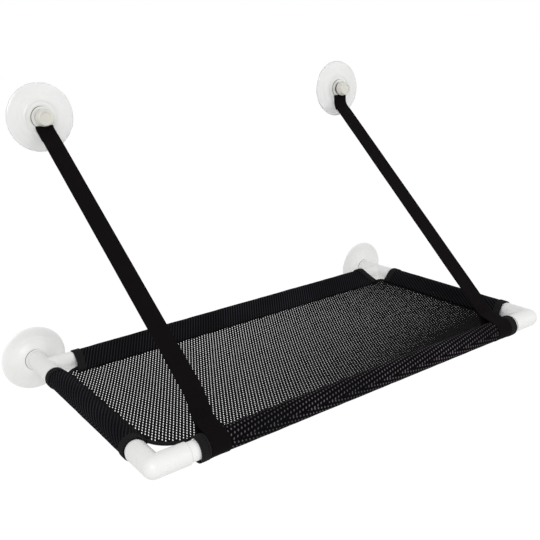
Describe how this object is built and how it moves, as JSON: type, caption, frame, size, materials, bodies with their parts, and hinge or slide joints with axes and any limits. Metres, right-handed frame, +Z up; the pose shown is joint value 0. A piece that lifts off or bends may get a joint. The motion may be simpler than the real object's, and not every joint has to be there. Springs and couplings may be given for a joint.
{
  "type": "window perch for a small pet",
  "caption": "Rectangular mesh bed on a push-fit tube frame that hangs on a window from suction cups and slanting webbing straps.",
  "frame": {"origin": "on the window's glass, midway between the two lower cups and level with the tubes' axes", "axes": "+X to the right along the window for someone in the room who faces it, +Y into the glass, +Z up"},
  "size_m": [0.63, 0.3354, 0.3705],
  "materials": {
    "white_plastic": "satin white",
    "mesh_cloth": "black knitted mesh",
    "binding_tape": "dark grey woven tape",
    "strap_webbing": "black woven webbing",
    "clear_vinyl": "clear soft vinyl",
    "milky_vinyl": "milky soft vinyl"
  },
  "bodies": {
    "frame": {"front_tube": "white_plastic", "rear_tube": "white_plastic", "left_tube": "white_plastic", "right_tube": "white_plastic", "front_left_elbow": "white_plastic", "front_right_elbow": "white_plastic", "rear_left_tee": "white_plastic", "rear_right_tee": "white_plastic", "bed_panel": "mesh_cloth", "front_sleeve": "mesh_cloth", "rear_sleeve": "mesh_cloth", "left_sleeve": "mesh_cloth", "right_sleeve": "mesh_cloth", "front_sleeve_left_hem": "binding_tape", "front_sleeve_right_hem": "binding_tape", "rear_sleeve_left_hem": "binding_tape", "rear_sleeve_right_hem": "binding_tape", "left_sleeve_rear_hem": "binding_tape", "left_sleeve_front_hem": "binding_tape", "right_sleeve_rear_hem": "binding_tape", "right_sleeve_front_hem": "binding_tape", "front_left_binding": "binding_tape", "front_right_binding": "binding_tape", "rear_left_binding": "binding_tape", "rear_right_binding": "binding_tape"},
    "left_strap": {"left_strap": "strap_webbing"},
    "right_strap": {"right_strap": "strap_webbing"},
    "upper_left_cup": {"upper_left_cup": "clear_vinyl"},
    "upper_right_cup": {"upper_right_cup": "clear_vinyl"},
    "lower_left_cup": {"lower_left_cup": "milky_vinyl"},
    "lower_right_cup": {"lower_right_cup": "milky_vinyl"}
  },
  "joints": [
    {"name": "left_strap_fold", "type": "hinge", "parent": "frame", "child": "left_strap", "pos_m": [-0.20475, -0.322, 0], "axis": [1, 0, 0], "range_deg": [0, 225]},
    {"name": "upper_left_cup_turn", "type": "hinge", "parent": "left_strap", "child": "upper_left_cup", "pos_m": [-0.2258, 0, 0.2905], "axis": [0, 1, 0], "continuous": true},
    {"name": "lower_left_cup_turn", "type": "hinge", "parent": "frame", "child": "lower_left_cup", "pos_m": [-0.275, 0, 0], "axis": [0, 1, 0], "continuous": true},
    {"name": "right_strap_fold", "type": "hinge", "parent": "frame", "child": "right_strap", "pos_m": [0.21325, -0.322, 0], "axis": [1, 0, 0], "range_deg": [0, 225]},
    {"name": "upper_right_cup_turn", "type": "hinge", "parent": "right_strap", "child": "upper_right_cup", "pos_m": [0.2298, 0, 0.2905], "axis": [0, 1, 0], "continuous": true},
    {"name": "lower_right_cup_turn", "type": "hinge", "parent": "frame", "child": "lower_right_cup", "pos_m": [0.275, 0, 0], "axis": [0, 1, 0], "continuous": true}
  ]
}
